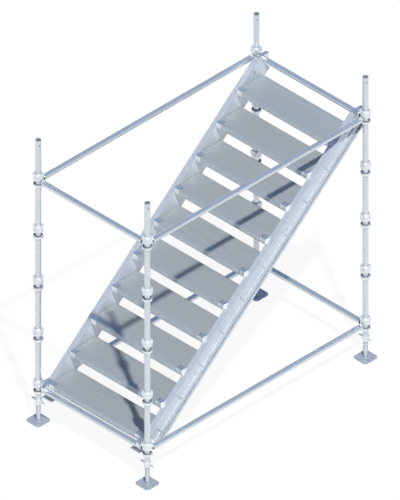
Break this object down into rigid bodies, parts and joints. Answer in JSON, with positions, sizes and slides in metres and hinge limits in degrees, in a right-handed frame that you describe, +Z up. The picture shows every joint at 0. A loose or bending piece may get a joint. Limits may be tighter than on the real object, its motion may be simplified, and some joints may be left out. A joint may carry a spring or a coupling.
{
  "type": "scaffold stair unit",
  "caption": "Aluminium stair with hollow treads, hooked into one bay of galvanised cup-lock scaffold standing on screw base jacks.",
  "frame": {"origin": "on the ground under the middle of the bay", "axes": "+Z up, +Y the way the stair climbs, +X to the right of someone climbing it"},
  "size_m": [1.369, 2.588, 2.718],
  "materials": {
    "galvanised_tube": "galvanised",
    "galvanised_casting": "galvanised",
    "galvanised_plate": "galvanised",
    "aluminium_extrusion": "mill finish extrusion",
    "cast_aluminium": "cast",
    "aluminium_tread": "fine matt"
  },
  "bodies": {
    "frame": {"standard_front_right": "galvanised_tube", "standard_front_left": "galvanised_tube", "standard_back_right": "galvanised_tube", "standard_back_left": "galvanised_tube", "lower_cups_front_right": "galvanised_tube", "lower_cups_front_left": "galvanised_tube", "lower_cups_back_right": "galvanised_tube", "lower_cups_back_left": "galvanised_tube", "locking_cups_front_right": "galvanised_casting", "locking_cups_front_left": "galvanised_casting", "locking_cups_back_right": "galvanised_casting", "locking_cups_back_left": "galvanised_casting", "ledger_front_low": "galvanised_tube", "ledger_front_top": "galvanised_tube", "ledger_back_low": "galvanised_tube", "ledger_back_top": "galvanised_tube", "ledger_left_low": "galvanised_tube", "ledger_left_top": "galvanised_tube", "ledger_right_low": "galvanised_tube", "ledger_right_top": "galvanised_tube", "tread_01": "aluminium_tread", "tread_02": "aluminium_tread", "tread_03": "aluminium_tread", "tread_04": "aluminium_tread", "tread_05": "aluminium_tread", "tread_06": "aluminium_tread", "tread_07": "aluminium_tread", "tread_08": "aluminium_tread", "tread_09": "aluminium_tread", "tread_10": "aluminium_tread", "stringer_left": "aluminium_extrusion", "stringer_right": "aluminium_extrusion", "tread_caps_left": "cast_aluminium", "tread_caps_right": "cast_aluminium", "tread_cleats_left": "aluminium_extrusion", "tread_cleats_right": "aluminium_extrusion", "top_hook_left": "cast_aluminium", "top_hook_right": "cast_aluminium", "foot_hook_left": "cast_aluminium", "foot_hook_right": "cast_aluminium"},
    "jack_front_right": {"base_plate_front_right": "galvanised_plate", "jack_screw_front_right": "galvanised_plate"},
    "nut_front_right": {"jack_nut_front_right": "galvanised_casting"},
    "jack_front_left": {"base_plate_front_left": "galvanised_plate", "jack_screw_front_left": "galvanised_plate"},
    "nut_front_left": {"jack_nut_front_left": "galvanised_casting"},
    "jack_back_right": {"base_plate_back_right": "galvanised_plate", "jack_screw_back_right": "galvanised_plate"},
    "nut_back_right": {"jack_nut_back_right": "galvanised_casting"},
    "jack_back_left": {"base_plate_back_left": "galvanised_plate", "jack_screw_back_left": "galvanised_plate"},
    "nut_back_left": {"jack_nut_back_left": "galvanised_casting"}
  },
  "joints": [
    {"name": "nut_turn_front_right", "type": "hinge", "parent": "frame", "child": "nut_front_right", "pos_m": [0.6095, -1.219, 0.193], "axis": [0, 0, 1], "range_deg": [-6750, 10350]},
    {"name": "jack_slide_front_right", "type": "slide", "parent": "frame", "child": "jack_front_right", "axis": [0, 0, 1], "range_m": [-0.23001, 0.15001]},
    {"name": "nut_turn_front_left", "type": "hinge", "parent": "frame", "child": "nut_front_left", "pos_m": [-0.6095, -1.219, 0.193], "axis": [0, 0, 1], "range_deg": [-6750, 10350]},
    {"name": "jack_slide_front_left", "type": "slide", "parent": "frame", "child": "jack_front_left", "axis": [0, 0, 1], "range_m": [-0.23001, 0.15001]},
    {"name": "nut_turn_back_right", "type": "hinge", "parent": "frame", "child": "nut_back_right", "pos_m": [0.6095, 1.219, 0.193], "axis": [0, 0, 1], "range_deg": [-6750, 10350]},
    {"name": "jack_slide_back_right", "type": "slide", "parent": "frame", "child": "jack_back_right", "axis": [0, 0, 1], "range_m": [-0.23001, 0.15001]},
    {"name": "nut_turn_back_left", "type": "hinge", "parent": "frame", "child": "nut_back_left", "pos_m": [-0.6095, 1.219, 0.193], "axis": [0, 0, 1], "range_deg": [-6750, 10350]},
    {"name": "jack_slide_back_left", "type": "slide", "parent": "frame", "child": "jack_back_left", "axis": [0, 0, 1], "range_m": [-0.23001, 0.15001]}
  ],
  "couplings": [
    {"joint": "jack_slide_front_right", "follows": "nut_turn_front_right", "m_per_rad": -0.0012732},
    {"joint": "jack_slide_front_left", "follows": "nut_turn_front_left", "m_per_rad": -0.0012732},
    {"joint": "jack_slide_back_right", "follows": "nut_turn_back_right", "m_per_rad": -0.0012732},
    {"joint": "jack_slide_back_left", "follows": "nut_turn_back_left", "m_per_rad": -0.0012732}
  ]
}
